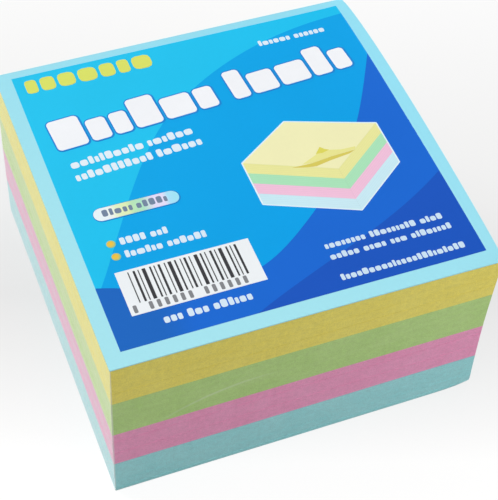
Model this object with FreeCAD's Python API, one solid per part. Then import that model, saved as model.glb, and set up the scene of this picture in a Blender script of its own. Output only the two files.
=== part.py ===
import FreeCAD, Part

import math
import os

# Sticky note pad: a thick square block of self-stick notes in four pastel colours.
# The notes lie on a plain backing sheet and are covered by a printed cover sheet.
# Each colour is a stack of notes stuck together along their far edge, cut flush on
# all four sides, and modelled as one solid.
#
# Millimetres. The origin is the centre of the face that the pad stands on.
# +Z is up, +Y points to the far edge, where the notes are stuck, and +X to the right
# of someone who reads the cover.
#
# The cover's print is plain fields of colour. Each field is a thin film of ink. The
# panel's ground colours lie on the sheet, the print's shapes on the ground, and the
# dark bars on their white patch, face to face.

# The stack of sheets. A block is a hundred notes of one colour. The lowest block is
# pressed a little thinner, and the uppermost one lies a little looser.
note_side = 75.0
block_height = 9.85
lowest_block_pressed = 0.35
uppermost_block_loose = 0.35
colours_from_below = ("blue", "pink", "green", "yellow")
backing_thickness = 0.15
cover_thickness = 0.25
ink_thickness = 0.02

# The plain border of the cover, round the printed panel
border_left = 2.9
border_right = 2.1
border_near = 3.1
border_far = 1.8

# The panel's ground: three sweeping curves part its four blues. Each blue fills the near
# right side of its curve, as far as the one before it, and light blue is the rest. The
# curves' points are shares of the panel, from its near left corner to its far right one.
ground_curves = {
    "deep": ((0.30, -0.03), (0.50, 0.06), (0.79, 0.178), (1.05, 0.328)),
    "royal": (
        (-0.04, 0.215), (0.05, 0.19), (0.24, 0.12), (0.42, 0.135), (0.57, 0.224),
        (0.78, 0.42), (0.94, 0.66), (1.03, 0.84),
    ),
    "mid": (
        (-0.06, 0.10), (0.02, 0.21), (0.09, 0.325), (0.21, 0.52), (0.35, 0.70),
        (0.565, 0.854), (0.86, 0.951), (1.04, 0.962),
    ),
}
ground_curves_beyond = -0.2

# A bar with round ends has corners of just under half its height
round_end_share = 0.49

# The heading: two groups of blocks that stand on one line, which climbs to the right.
# The blocks share the panel's width between the insets.
heading_tilt_deg = 3.8
heading_inset_left = 3.4
heading_inset_right = 3.6
heading_blocks = (6, 5)
heading_block_gap = 0.8
heading_word_gap = 3.4
heading_block_heights = (8.0, 5.8, 5.8)
heading_block_width_shares = (1.25, 0.8, 0.7, 1.1)
heading_corner = 0.9
heading_foot_below_far = 21.9

# The name bar in the far left corner
name_bar_length = 26.0
name_bar_height = 3.4
name_bar_corner = 0.8
name_bar_inset = 2.0
name_bar_below_far = 3.5

# Lines of small print, each a row of short bars with round ends
word_gap = 1.0
side_line_height = 1.4
side_line_from_right = 19.6
side_line_below_far = 5.8
side_line_words = (6.8, 6.6)
subtitle_height = 1.8
subtitle_inset = 4.4
subtitle_below_far = 26.2
subtitle_pitch = 3.3
subtitle_words = ((14.6, 9.2), (15.4, 9.2))
bullet_line_height = 1.5
bullet_line_inset = 7.4
bullet_line_words = ((4.8, 3.2), (7.0, 7.4))
caption_height = 1.6
caption_inset = 9.2
caption_above_near = 4.0
caption_words = (3.4, 3.8, 7.2)
address_height = 1.3
address_from_right = 27.8
address_above_near = 10.2
address_pitch = 2.65
address_words = ((8.0, 9.2, 4.4), (5.6, 4.4, 3.2, 8.0))
foot_line_above_near = 2.6
foot_line_words = (24.6,)

# The colour pill, and the bullet dots that stand before two of the lines
pill_length = 16.5
pill_height = 3.1
pill_inset = 4.7
pill_above_near = 30.5
bullet_diameter = 1.7
bullet_inset = 5.7
bullet_above_near = 20.1
bullet_pitch = 3.1

# The bar code patch. Its bars have a few widths that repeat, and stand for no number.
patch_length = 25.4
patch_height = 10.1
patch_inset = 4.2
patch_above_near = 6.5
patch_quiet_edge = 2.2
patch_foot = 2.4
patch_head = 0.6
code_bar_widths = (0.2, 0.42, 0.2, 0.66, 0.32)
code_bar_gaps = (0.56, 0.76, 0.5)

# A plain drawing of a note block, seen from above one of its corners: a slanted square
# on top, and a band of each colour round the two sides below it
motif_left_reach = 16.9
motif_left_rise = 7.05
motif_right_reach = 11.6
motif_right_rise = 8.8
motif_top_depth = 14.75
motif_band_height = 2.7
motif_from_right = 6.1
motif_above_near = 16.35
motif_colours_from_above = ("yellow", "green", "pink", "pale_blue")

# Worked out from the sizes above
half_side = note_side / 2
block_heights = [block_height] * len(colours_from_below)
block_heights[0] -= lowest_block_pressed
block_heights[-1] += uppermost_block_loose
blocks_top = backing_thickness + sum(block_heights)
ground_bottom = blocks_top + cover_thickness
shapes_bottom = ground_bottom + ink_thickness
code_bars_bottom = shapes_bottom + ink_thickness
panel_left = border_left - half_side
panel_right = half_side - border_right
panel_near = border_near - half_side
panel_far = half_side - border_far


def sheet(thickness, bottom):
    """A square sheet or stack of sheets of the pad's size, from bottom upwards."""
    corner = FreeCAD.Vector(-half_side, -half_side, bottom)
    return Part.makeBox(note_side, note_side, thickness, corner)


def box_film(left, near, length, height, bottom):
    """A sharp-cornered rectangle of ink."""
    corner = FreeCAD.Vector(left, near, bottom)
    return Part.makeBox(length, height, ink_thickness, corner)


def disc_film(radius, x, y, bottom):
    """A round spot of ink."""
    return Part.makeCylinder(radius, ink_thickness, FreeCAD.Vector(x, y, bottom))


def outlined_film(edges):
    """The ink inside a closed row of edges."""
    return Part.Face(Part.Wire(edges)).extrude(FreeCAD.Vector(0, 0, ink_thickness))


def bar_film(length, height, corner, x, y, tilt_deg=0.0):
    """A bar of ink with round corners, centred at x, y and lying on the ground."""
    plain = box_film(-length / 2, -height / 2, length, height, 0.0)
    uprights = [edge for edge in plain.Edges if abs(edge.tangentAt(0).z) > 0.5]
    film = plain.makeFillet(corner, uprights)
    film.rotate(FreeCAD.Vector(0, 0, 0), FreeCAD.Vector(0, 0, 1), tilt_deg)
    film.translate(FreeCAD.Vector(x, y, shapes_bottom))
    return film


def word_films(lengths, height, start_x, y, tilt_deg=0.0):
    """A line of small print: round-ended bars, from start_x along the line's tilt."""
    tilt = math.radians(tilt_deg)
    corner = round_end_share * height
    films = []
    reached = 0.0
    for length in lengths:
        middle = reached + length / 2
        x = start_x + middle * math.cos(tilt)
        rise = middle * math.sin(tilt)
        films.append(bar_film(length, height, corner, x, y + rise, tilt_deg))
        reached += length + word_gap
    return films


def group(solids):
    """One solid as it is, or several that share a node."""
    return solids[0] if len(solids) == 1 else Part.makeCompound(solids)


def lay_print(fields, bottom):
    """Nodes of one level of print. A film is trimmed to the panel and to earlier films."""
    panel = box_film(
        panel_left, panel_near, panel_right - panel_left, panel_far - panel_near, bottom
    )
    nodes = {}
    laid = []
    for name, films in fields:
        kept = []
        for film in films:
            trimmed = film if panel.BoundBox.isInside(film.BoundBox) else film.common(panel)
            for other in laid:
                if trimmed.BoundBox.intersect(other.BoundBox):
                    trimmed = trimmed.cut(other)
            kept += trimmed.Solids
            laid += trimmed.Solids
        nodes[name] = group(kept)
    return nodes


def stack_nodes():
    """The backing sheet, the four colour blocks and the cover sheet."""
    nodes = {"backing_sheet": sheet(backing_thickness, 0.0)}
    bottom = backing_thickness
    for colour, height in zip(colours_from_below, block_heights):
        nodes[f"{colour}_notes"] = sheet(height, bottom)
        bottom += height
    nodes["cover_sheet"] = sheet(cover_thickness, blocks_top)
    return nodes


def ground_curve_film(shares):
    """The ground on the near right side of a smooth curve through points of the panel."""
    width = panel_right - panel_left
    depth = panel_far - panel_near
    beyond = panel_near + ground_curves_beyond * depth
    points = [
        FreeCAD.Vector(panel_left + right * width, panel_near + far * depth, ground_bottom)
        for right, far in shares
    ]
    curve = Part.BSplineCurve()
    curve.interpolate(points)
    first, last = points[0], points[-1]
    below_last = FreeCAD.Vector(last.x, beyond, ground_bottom)
    below_first = FreeCAD.Vector(first.x, beyond, ground_bottom)
    sides = Part.makePolygon([last, below_last, below_first, first])
    return outlined_film([curve.toShape(), *sides.Edges])


def ground_fields():
    """The panel's ground colours, from the near right corner's to the light rest."""
    fields = [
        (f"panel_{shade}_blue", [ground_curve_film(shares)])
        for shade, shares in ground_curves.items()
    ]
    width = panel_right - panel_left
    depth = panel_far - panel_near
    rest = box_film(panel_left, panel_near, width, depth, ground_bottom)
    fields.append(("panel_light_blue", [rest]))
    return fields


def heading_films():
    """The heading's blocks, which stand on one climbing line in two groups."""
    tilt = math.radians(heading_tilt_deg)
    count = sum(heading_blocks)
    run = (panel_right - panel_left - heading_inset_left - heading_inset_right) / math.cos(tilt)
    gaps = (count - len(heading_blocks)) * heading_block_gap + heading_word_gap
    cycle = len(heading_block_width_shares)
    shares = [heading_block_width_shares[place % cycle] for place in range(count)]
    share_width = (run - gaps) / sum(shares)
    foot_x = panel_left + heading_inset_left
    foot_y = panel_far - heading_foot_below_far
    films = []
    reached = 0.0
    for blocks in heading_blocks:
        for _ in range(blocks):
            height = heading_block_heights[len(films) % len(heading_block_heights)]
            width = shares[len(films)] * share_width
            along = reached + width / 2
            x = foot_x + along * math.cos(tilt) - height / 2 * math.sin(tilt)
            y = foot_y + along * math.sin(tilt) + height / 2 * math.cos(tilt)
            films.append(bar_film(width, height, heading_corner, x, y, heading_tilt_deg))
            reached += width + heading_block_gap
        reached += heading_word_gap - heading_block_gap
    return films


def name_bar_films():
    """The name bar in the far left corner."""
    x = panel_left + name_bar_inset + name_bar_length / 2
    y = panel_far - name_bar_below_far
    return [bar_film(name_bar_length, name_bar_height, name_bar_corner, x, y)]


def side_line_films():
    """The short line in the far right corner."""
    x = panel_right - side_line_from_right
    y = panel_far - side_line_below_far
    return word_films(side_line_words, side_line_height, x, y)


def subtitle_films():
    """Two lines below the heading, which climb as it does."""
    films = []
    for row, lengths in enumerate(subtitle_words):
        x = panel_left + subtitle_inset
        y = panel_far - subtitle_below_far - row * subtitle_pitch
        films += word_films(lengths, subtitle_height, x, y, heading_tilt_deg)
    return films


def bullet_line_heights():
    """Height of each bullet's line on the panel, from the far one to the near one."""
    near_line = panel_near + bullet_above_near
    count = len(bullet_line_words)
    return [near_line + (count - 1 - row) * bullet_pitch for row in range(count)]


def bullet_line_films():
    """The lines that the bullet dots stand before."""
    films = []
    for y, lengths in zip(bullet_line_heights(), bullet_line_words):
        films += word_films(lengths, bullet_line_height, panel_left + bullet_line_inset, y)
    return films


def bullet_dot_films():
    """The bullet dots."""
    x = panel_left + bullet_inset
    return [disc_film(bullet_diameter / 2, x, y, shapes_bottom) for y in bullet_line_heights()]


def caption_films():
    """The line under the bar code patch."""
    x = panel_left + caption_inset
    return word_films(caption_words, caption_height, x, panel_near + caption_above_near)


def address_films():
    """Two lines and a foot line in the near right corner."""
    x = panel_right - address_from_right
    films = word_films(foot_line_words, address_height, x, panel_near + foot_line_above_near)
    for row, lengths in enumerate(address_words):
        y = panel_near + address_above_near - row * address_pitch
        films += word_films(lengths, address_height, x, y)
    return films


def pill_films():
    """The round-ended colour pill."""
    x = panel_left + pill_inset + pill_length / 2
    y = panel_near + pill_above_near
    return [bar_film(pill_length, pill_height, round_end_share * pill_height, x, y)]


def patch_films():
    """The white patch under the bar code."""
    left = panel_left + patch_inset
    near = panel_near + patch_above_near
    return [box_film(left, near, patch_length, patch_height, shapes_bottom)]


def code_bar_films():
    """The dark bars, which fill the patch's length between its quiet edges."""
    near = panel_near + patch_above_near + patch_foot
    height = patch_height - patch_foot - patch_head
    start = panel_left + patch_inset + patch_quiet_edge
    end = start + patch_length - 2 * patch_quiet_edge
    width = code_bar_widths[0]
    films = []
    while start + width <= end:
        films.append(box_film(start, near, width, height, code_bars_bottom))
        start += width + code_bar_gaps[len(films) % len(code_bar_gaps)]
        width = code_bar_widths[len(films) % len(code_bar_widths)]
    return films


def motif_fields():
    """The drawn note block's colours, from the uppermost one down."""
    front_x = panel_right - motif_from_right - motif_right_reach
    foot_y = panel_near + motif_above_near
    left = (front_x - motif_left_reach, foot_y + motif_left_rise)
    front = (front_x, foot_y)
    right = (front_x + motif_right_reach, foot_y + motif_right_rise)
    back = (left[0] + right[0] - front[0], front[1] + motif_top_depth)
    count = len(motif_colours_from_above)
    fields = []
    for place, colour in enumerate(motif_colours_from_above):
        upper = (count - place) * motif_band_height
        lower = upper - motif_band_height
        inner = front if place else back
        outline = [(x, y + lower) for x, y in (left, front, right)]
        outline += [(x, y + upper) for x, y in (right, inner, left)]
        points = [FreeCAD.Vector(x, y, shapes_bottom) for x, y in outline]
        edges = Part.makePolygon([*points, points[0]]).Edges
        fields.append((f"motif_{colour}", [outlined_film(edges)]))
    return fields


def shape_fields():
    """The print's shapes on the ground, from the uppermost one down."""
    lines = side_line_films() + subtitle_films() + bullet_line_films()
    lines += caption_films() + address_films()
    return (
        ("heading_blocks", heading_films()),
        ("name_bar", name_bar_films()),
        ("print_lines", lines),
        ("bullet_dots", bullet_dot_films()),
        ("colour_pill", pill_films()),
        ("code_patch", patch_films()),
        *motif_fields(),
    )


os.makedirs("parts", exist_ok=True)
pad = stack_nodes()
pad.update(lay_print(ground_fields(), ground_bottom))
pad.update(lay_print(shape_fields(), shapes_bottom))
pad.update(lay_print((("code_bars", code_bar_films()),), code_bars_bottom))
for node, shape in pad.items():
    shape.exportStep(f"parts/{node}.step")
    box = shape.BoundBox
    size = f"{box.XLength:6.2f} x {box.YLength:6.2f} x {box.ZLength:5.2f} mm"
    print(f"{node:18s} {len(shape.Solids):3d} solids  {size}  {shape.Volume:10.2f} mm3")
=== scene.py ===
# %% [markdown]
# # A block of sticky notes in four pastel colours
#
# The object is four hundred small square notes, stuck together along one edge and cut
# flush, with a printed cover sheet on top. Almost nothing on it has a shape of its own:
# what makes it look real is that every sheet was cut, moved and lit a little differently
# from the next. This lesson builds that from the measured solids outwards: first how the
# stack bends, then the sheets, then the cover and its print, then paper and ink, and last
# the studio.

# %% Load the measured model
import math

import bmesh
import bpy
import numpy as np
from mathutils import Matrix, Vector
from mathutils.geometry import convex_hull_2d


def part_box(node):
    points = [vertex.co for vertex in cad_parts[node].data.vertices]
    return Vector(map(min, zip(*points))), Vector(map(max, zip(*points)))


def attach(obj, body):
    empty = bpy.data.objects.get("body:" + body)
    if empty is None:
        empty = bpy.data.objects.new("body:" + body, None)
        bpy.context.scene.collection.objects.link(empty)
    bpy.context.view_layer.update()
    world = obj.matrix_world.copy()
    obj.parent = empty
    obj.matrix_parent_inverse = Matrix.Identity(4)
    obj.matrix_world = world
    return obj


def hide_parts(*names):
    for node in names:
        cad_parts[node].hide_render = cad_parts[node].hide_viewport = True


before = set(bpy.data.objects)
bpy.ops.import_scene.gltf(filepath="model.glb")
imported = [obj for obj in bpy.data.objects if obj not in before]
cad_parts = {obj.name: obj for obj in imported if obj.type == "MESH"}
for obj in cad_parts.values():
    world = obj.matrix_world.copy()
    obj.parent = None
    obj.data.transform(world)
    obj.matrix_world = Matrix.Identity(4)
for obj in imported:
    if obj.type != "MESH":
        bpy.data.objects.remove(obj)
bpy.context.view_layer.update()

MM = 0.001

# %% [markdown]
# ## Measures
#
# Every length that the solids already hold is read from them, so the pieces made here sit
# on them with no fitting. The blocks lie on each other from blue at the bottom to yellow
# at the top. The cover lies on the yellow block, and the ink on the cover.

# %% Read the measures
BLOCKS = ("blue_notes", "pink_notes", "green_notes", "yellow_notes")
SHEETS_PER_BLOCK = 100
HALF_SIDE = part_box("cover_sheet")[1][0]
COVER_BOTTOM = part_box("cover_sheet")[0][2]
COVER_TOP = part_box("cover_sheet")[1][2]
SHAPES_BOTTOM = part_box("code_patch")[0][2]
SHAPES_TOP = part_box("code_patch")[1][2]
INK = SHAPES_TOP - SHAPES_BOTTOM
SHEET_THICKNESS = (COVER_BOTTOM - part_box("yellow_notes")[0][2]) / SHEETS_PER_BLOCK
print("A yellow note is", round(SHEET_THICKNESS / MM, 4), "mm thick")

# %% [markdown]
# ## How the stack bends
#
# A glued stack is stiff along its far edge, where the adhesive is, and loose along the near
# one. In the photograph the right edge of the top sheets curls up and outwards by almost a
# millimetre within a few millimetres of the edge, the near right corner hangs a little, the
# right side is cut slightly hollow, and the near right corner is worn round at the foot. A
# lattice or a few simple modifiers could do this. One function of a point's place is shorter,
# and because the notes, the cover and each patch of ink all go through the same function,
# they stay in contact however much the stack bends.

# %% Bend a set of points
RIGHT_CURL = 0.85 * MM
RIGHT_SWELL = 0.75 * MM
EDGE_POWER = 22
CROWN_POWER = 0.6
FAR_LEAN = 0.35
NEAR_DROOP = 0.55 * MM
DROOP_RIGHT_POWER = 2.5
DROOP_NEAR_POWER = 1.5
LEFT_SLIDE = 0.10 * MM
RIGHT_HOLLOW = 0.35 * MM
LOOSE_DEPTH = 8.0 * MM
WORN_CORNER = 0.55 * MM
WORN_HEIGHT = 1.8 * MM
WORN_POWER = 30


def bend(points):
    """Points of the straight stack, moved to where the loose sheets really lie."""
    x, y, z = points[:, 0], points[:, 1], points[:, 2]
    across = np.clip(x / HALF_SIDE, -1, 1)
    along = np.clip(y / HALF_SIDE, -1, 1)
    rightness = (1 + across) / 2
    nearness = (1 - along) / 2
    height = np.clip(z / COVER_BOTTOM, 0, 1)
    free = np.clip(1 - (COVER_BOTTOM - z) / LOOSE_DEPTH, 0, 1)
    free = free * free * (3 - 2 * free)
    crown = (1 - along**2) ** CROWN_POWER * (1 + FAR_LEAN * along)
    lip = crown * rightness**EDGE_POWER
    curl = RIGHT_CURL * lip
    droop = NEAR_DROOP * rightness**DROOP_RIGHT_POWER * nearness**DROOP_NEAR_POWER
    swell = RIGHT_SWELL * lip * height**2
    slide = (LEFT_SLIDE + RIGHT_HOLLOW * rightness) * np.sin(math.pi * height)
    foot = WORN_CORNER * np.clip(1 - z / WORN_HEIGHT, 0, 1) ** 2
    worn = foot * (rightness * nearness) ** WORN_POWER
    return np.stack([x + swell - slide - worn, y + worn, z + (curl - droop) * free], axis=1)


edge_middle = bend(np.array([[HALF_SIDE, 0.0, COVER_TOP]]))[0]
print("The right edge rises", round((edge_middle[2] - COVER_TOP) / MM, 2), "mm")

# %% [markdown]
# ## A sheet's outline
#
# Seen from above, a note is a square with sharp corners. A perfectly sharp corner never
# catches light, so each corner gets a rounding of about a tenth of a millimetre. The outline
# is one ring of points, in the same order at every level, with the direction that points
# outwards at each of them, and the point of the sheet's flat face that lies next to it.

# %% Make the outline ring
CUTS_PER_SIDE = 30
CORNER_RADIUS = 0.12 * MM
CORNER_POINTS = 2
FLAT_HALF = HALF_SIDE - CORNER_RADIUS


def outline():
    """Places and outward directions of the ring's points, and the flat face's point of each."""
    steps = np.linspace(-FLAT_HALF, FLAT_HALF, CUTS_PER_SIDE + 1)
    places, outward, inner = [], [], []
    for side in range(4):
        angle = side * math.pi / 2
        run = np.array([math.cos(angle), math.sin(angle)])
        out = np.array([math.sin(angle), -math.cos(angle)])
        for step in steps:
            places.append(run * step + out * HALF_SIDE)
            outward.append(out)
            inner.append(run * step + out * FLAT_HALF)
        for number in range(1, CORNER_POINTS + 1):
            turn = number / (CORNER_POINTS + 1) * math.pi / 2
            direction = out * math.cos(turn) + run * math.sin(turn)
            places.append((run + out) * FLAT_HALF + direction * CORNER_RADIUS)
            outward.append(direction)
            inner.append((run + out) * FLAT_HALF)
    return np.array(places), np.array(outward), np.array(inner)


RING, OUTWARD, INNER = outline()
print("A ring has", len(RING), "points")

# %% [markdown]
# ## A closed stack of sheets
#
# A hundred separate boxes would hide ten thousand faces inside the block and leave hair-thin
# gaps. Instead the block is one closed skin: a ring of points at the bottom and at the top of
# each sheet, joined one above the other, and a lid of squares at both ends. Where two sheets
# meet, the ring steps in or out by some thousandths of a millimetre, and those steps are the
# fine lines that the eye reads as separate notes.

# %% Build the skin
SMOOTH_UP_TO_DEG = 30


def lid_grid():
    """The lid's own points as rows, and for each ring point the number of its lid point."""
    steps = np.linspace(-FLAT_HALF, FLAT_HALF, CUTS_PER_SIDE + 1)
    grid = np.array([[x, y] for y in steps for x in steps])
    nearest = [int(np.argmin(np.sum((grid - place) ** 2, axis=1))) for place in INNER]
    return grid, nearest


def lid_faces(first_ring_point, first_lid_point, nearest, facing_up):
    """Faces of one lid: its squares, and the narrow strip out to the ring."""
    faces = []
    row = CUTS_PER_SIDE + 1
    for j in range(CUTS_PER_SIDE):
        for i in range(CUTS_PER_SIDE):
            a = first_lid_point + j * row + i
            faces.append((a, a + 1, a + 1 + row, a + row))
    count = len(nearest)
    for k in range(count):
        after = (k + 1) % count
        outer = [first_ring_point + k, first_ring_point + after]
        inner = [first_lid_point + nearest[after], first_lid_point + nearest[k]]
        faces.append(tuple(outer + (inner if inner[0] != inner[1] else inner[:1])))
    return faces if facing_up else [face[::-1] for face in faces]


def mesh_object(name, points=(), faces=()):
    """A mesh in the scene, from points in metres."""
    mesh = bpy.data.meshes.new(name)
    mesh.from_pydata([tuple(point) for point in points], [], list(faces))
    mesh.update()
    piece = bpy.data.objects.new(name, mesh)
    bpy.context.scene.collection.objects.link(piece)
    return piece


def smooth(mesh):
    """Smooth shading, except where faces meet at more than thirty degrees."""
    mesh.shade_smooth()
    mesh.set_sharp_from_angle(angle=math.radians(SMOOTH_UP_TO_DEG))


def skin(name, heights, shifts, growth):
    """A closed stack: a ring at each height, moved by its shift and grown by its growth."""
    count = len(RING)
    rings = []
    for height, shift, grown in zip(heights, shifts, growth):
        places = RING + OUTWARD * np.asarray(grown).reshape(-1, 1) + shift
        rings.append(np.column_stack([places, np.full(count, height)]))
    grid, nearest = lid_grid()
    bottom = np.column_stack([grid + shifts[0], np.full(len(grid), heights[0])])
    top = np.column_stack([grid + shifts[-1], np.full(len(grid), heights[-1])])
    points = bend(np.vstack(rings + [bottom, top]))
    faces = []
    for level in range(len(heights) - 1):
        low = level * count
        for k in range(count):
            after = (k + 1) % count
            faces.append((low + k, low + after, low + count + after, low + count + k))
    ring_points = len(heights) * count
    faces += lid_faces(0, ring_points, nearest, False)
    faces += lid_faces(ring_points - count, ring_points + len(grid), nearest, True)
    return mesh_object(name, points, faces)


def settle(piece, node, slot=None):
    """Puts a piece on the pad's body, and hides its node when no slot is given."""
    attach(piece, "root")
    if slot is None:
        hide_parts(node)
    return piece


print("A lid has", (CUTS_PER_SIDE + 1) ** 2, "points of its own")

# %% [markdown]
# ## The four note blocks
#
# A guillotine cuts the whole block at once, so the sheets line up to a few hundredths of a
# millimetre. Afterwards they slide on each other a little, and now and then one sheet stands
# proud. The cut itself is slightly wavy. All of this is drawn from one seeded source, so
# every run gives the same block.

# %% Make the blocks
SLIP = 0.005 * MM
PROUD_SLIP = 0.022 * MM
PROUD_SHARE = 0.03
CUT_WAVE = 0.025 * MM
SLOW_WAVES = 3
SLOW_RISE = 9 * MM
QUICK_WAVES = 11
QUICK_RISE = 4 * MM
QUICK_SHARE = 0.4
SHEET_GAP = 0.006 * MM
SEED = 400
random = np.random.default_rng(SEED)


def cut_wave(height):
    """How far the cut strays outwards round the ring at this height."""
    around = np.arctan2(RING[:, 1], RING[:, 0])
    slow = np.sin(SLOW_WAVES * around + height / SLOW_RISE)
    quick = np.sin(QUICK_WAVES * around - height / QUICK_RISE) * QUICK_SHARE
    return CUT_WAVE * (slow + quick)


def note_block(node):
    """The closed skin of one colour's hundred notes, in place of its plain solid."""
    bottom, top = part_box(node)[0][2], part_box(node)[1][2]
    thickness = (top - bottom) / SHEETS_PER_BLOCK
    slips = random.normal(0, SLIP, (SHEETS_PER_BLOCK, 2))
    proud = random.random(SHEETS_PER_BLOCK) < PROUD_SHARE
    slips[proud] += random.normal(0, PROUD_SLIP, (int(proud.sum()), 2))
    heights, shifts, growth = [], [], []
    for sheet in range(SHEETS_PER_BLOCK):
        low = bottom + sheet * thickness
        high = low + thickness
        low += SHEET_GAP / 2 if sheet else 0
        high -= SHEET_GAP / 2 if sheet < SHEETS_PER_BLOCK - 1 else 0
        for height in (low, high):
            heights.append(height)
            shifts.append(slips[sheet])
            growth.append(cut_wave(height))
    return settle(skin(node.replace("notes", "sheets"), heights, shifts, growth), node)


blocks = {node: note_block(node) for node in BLOCKS}
print("Faces in a block:", len(blocks["blue_notes"].data.polygons))

# %% [markdown]
# ## Cover and backing sheet
#
# The cover is one sheet of heavier, smoother paper. It is made by the same skin with two
# rings only, so that it follows the notes under it exactly, and it is cut a few hundredths
# of a millimetre larger, which draws the fine dark line under its near edge. The backing
# sheet under the block is made the same way, a little smaller than the notes.

# %% Make the two single sheets
COVER_OVERHANG = 0.06 * MM
BACKING_OVERHANG = -0.05 * MM


def single_sheet(name, node, overhang):
    """One sheet that bends with the stack."""
    heights = (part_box(node)[0][2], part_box(node)[1][2])
    sheet = skin(name, heights, [np.zeros(2)] * 2, [overhang] * 2)
    smooth(sheet.data)
    return settle(sheet, node)


cover = single_sheet("cover_paper", "cover_sheet", COVER_OVERHANG)
backing = single_sheet("backing_paper", "backing_sheet", BACKING_OVERHANG)
print("The cover has", len(cover.data.polygons), "faces")

# %% [markdown]
# ## Print that follows the paper
#
# The solids hold every printed shape as a flat film. Drawing the fields of colour again by
# hand would only risk a mismatch, so each film's own mesh is copied, cut along a grid of
# lines so that it has points to bend at, and sent through the same bending as the paper.

# %% Lay the print on the cover
PRINT_GRID = 2.5 * MM
WELD = 0.001 * MM
GROUND = ("panel_light_blue", "panel_mid_blue", "panel_royal_blue", "panel_deep_blue")
MOTIF = ("motif_yellow", "motif_green", "motif_pink", "motif_pale_blue")
FIELDS = ("heading_blocks", "bullet_dots", "colour_pill", "code_patch", "code_bars")


def film_of(node):
    """A printed node's mesh, welded, ready to be changed."""
    film = bmesh.new()
    film.from_mesh(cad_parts[node].data)
    bmesh.ops.remove_doubles(film, verts=film.verts[:], dist=WELD)
    return film


def cut_in_grid(film):
    """Cuts a film's faces along lines in X and in Y."""
    for axis in (Vector((1, 0, 0)), Vector((0, 1, 0))):
        places = [axis.dot(point.co) for point in film.verts]
        first = math.ceil(min(places) / PRINT_GRID)
        last = math.floor(max(places) / PRINT_GRID)
        for number in range(first, last + 1):
            parts = film.verts[:] + film.edges[:] + film.faces[:]
            bmesh.ops.bisect_plane(
                film, geom=parts, dist=WELD, plane_co=axis * number * PRINT_GRID, plane_no=axis
            )


def print_piece(name, film, node, slot=None):
    """A piece made of the film, cut in a grid, bent as the stack is and settled on it."""
    bmesh.ops.remove_doubles(film, verts=film.verts[:], dist=WELD)
    cut_in_grid(film)
    points = bend(np.array([tuple(point.co) for point in film.verts]))
    for point, place in zip(film.verts, points):
        point.co = place
    bmesh.ops.recalc_face_normals(film, faces=film.faces[:])
    piece = mesh_object(name)
    film.to_mesh(piece.data)
    film.free()
    return settle(piece, node, slot)


ink = {node: print_piece("ink_" + node, film_of(node), node) for node in GROUND + MOTIF + FIELDS}
print("Printed faces:", sum(len(piece.data.polygons) for piece in ink.values()))

# %% [markdown]
# ## Small print as rows of blocks
#
# Small print reads as a rhythm of little upright shapes on one line. The solids hold each
# line as a few plain bars. Here every bar is broken into small rounded blocks of uneven width
# that fill the same outline, some a little taller, so it has the grain of a line of print
# and spells nothing. The blocks are flat prisms, drawn from a rounded rectangle. A row's style
# is the width of a block and the gap after it, both as shares of the bar's height, and the
# share of blocks that are tall.

# %% Break the bars into blocks
ROUND_POINTS = 3
ROUNDNESS = 0.3
NARROW = 0.6
WIDE = 1.3
TALL = 1.10
LOW = 0.84
FINE_STYLE = (0.66, 0.16, 0.38)
BROAD_STYLE = (0.92, 0.20, 1.0)


def parts_of(node):
    """A printed node's separate parts, each as an array of its points' places."""
    film = film_of(node)
    left = set(film.verts)
    found = []
    while left:
        reached = [left.pop()]
        for point in reached:
            near = {edge.other_vert(point) for edge in point.link_edges} & left
            left -= near
            reached.extend(near)
        found.append(np.array([tuple(point.co) for point in reached]))
    film.free()
    return sorted(found, key=lambda part: (round(part[:, 1].mean(), 5), part[:, 0].mean()))


def add_prism(film, corners, bottom, top):
    """Adds a flat prism over a row of corners to the film."""
    rings = [[film.verts.new((x, y, z)) for x, y in corners] for z in (bottom, top)]
    film.faces.new(rings[0][::-1])
    film.faces.new(rings[1])
    count = len(corners)
    for k in range(count):
        after = (k + 1) % count
        film.faces.new((rings[0][k], rings[0][after], rings[1][after], rings[1][k]))


def rounded_block(centre, run, width, height, corner):
    """Corners of a rectangle with rounded corners, its width along run."""
    rise = np.array([-run[1], run[0]])
    corners = []
    for quarter, (sx, sy) in enumerate(((1, 1), (-1, 1), (-1, -1), (1, -1))):
        middle = centre + run * sx * (width / 2 - corner) + rise * sy * (height / 2 - corner)
        for step in range(ROUND_POINTS):
            angle = (quarter + step / (ROUND_POINTS - 1)) * math.pi / 2
            turn = run * math.cos(angle) + rise * math.sin(angle)
            corners.append(middle + turn * corner)
    return corners


def bar_axes(part):
    """Centre, direction, length and height of a straight bar from its points."""
    flat = part[:, :2]
    low, high = flat.min(axis=0), flat.max(axis=0)
    centre = (low + high) / 2
    turns = np.linalg.eigh(np.cov((flat - centre).T))[1]
    run = turns[:, 1] * np.sign(turns[0, 1])
    rise = np.array([-run[1], run[0]])
    return centre, run, np.ptp(flat @ run), np.ptp(flat @ rise)


def add_row(film, bar, style, bottom, top):
    """Fills a bar with blocks in a row's style."""
    centre, run, length, height = bar
    width_share, gap_share, tall_share = style
    rise = np.array([-run[1], run[0]])
    gap = gap_share * height
    count = max(1, round((length + gap) / (width_share * height + gap)))
    widths = random.uniform(NARROW, WIDE, count)
    widths *= (length - gap * (count - 1)) / widths.sum()
    tall = random.random(count) < tall_share
    reached = -length / 2
    for width, is_tall in zip(widths, tall):
        block_height = height * (TALL if is_tall else LOW)
        place = centre + run * (reached + width / 2) + rise * (block_height - height) / 2
        corner = min(width, block_height) * ROUNDNESS
        add_prism(film, rounded_block(place, run, width, block_height, corner), bottom, top)
        reached += width + gap


def rows_of_blocks(node, style):
    """Every bar of a node as a row of small blocks, in place of the node."""
    film = bmesh.new()
    for part in parts_of(node):
        add_row(film, bar_axes(part), style, SHAPES_BOTTOM, SHAPES_TOP)
    return print_piece("ink_" + node, film, node)


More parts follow.
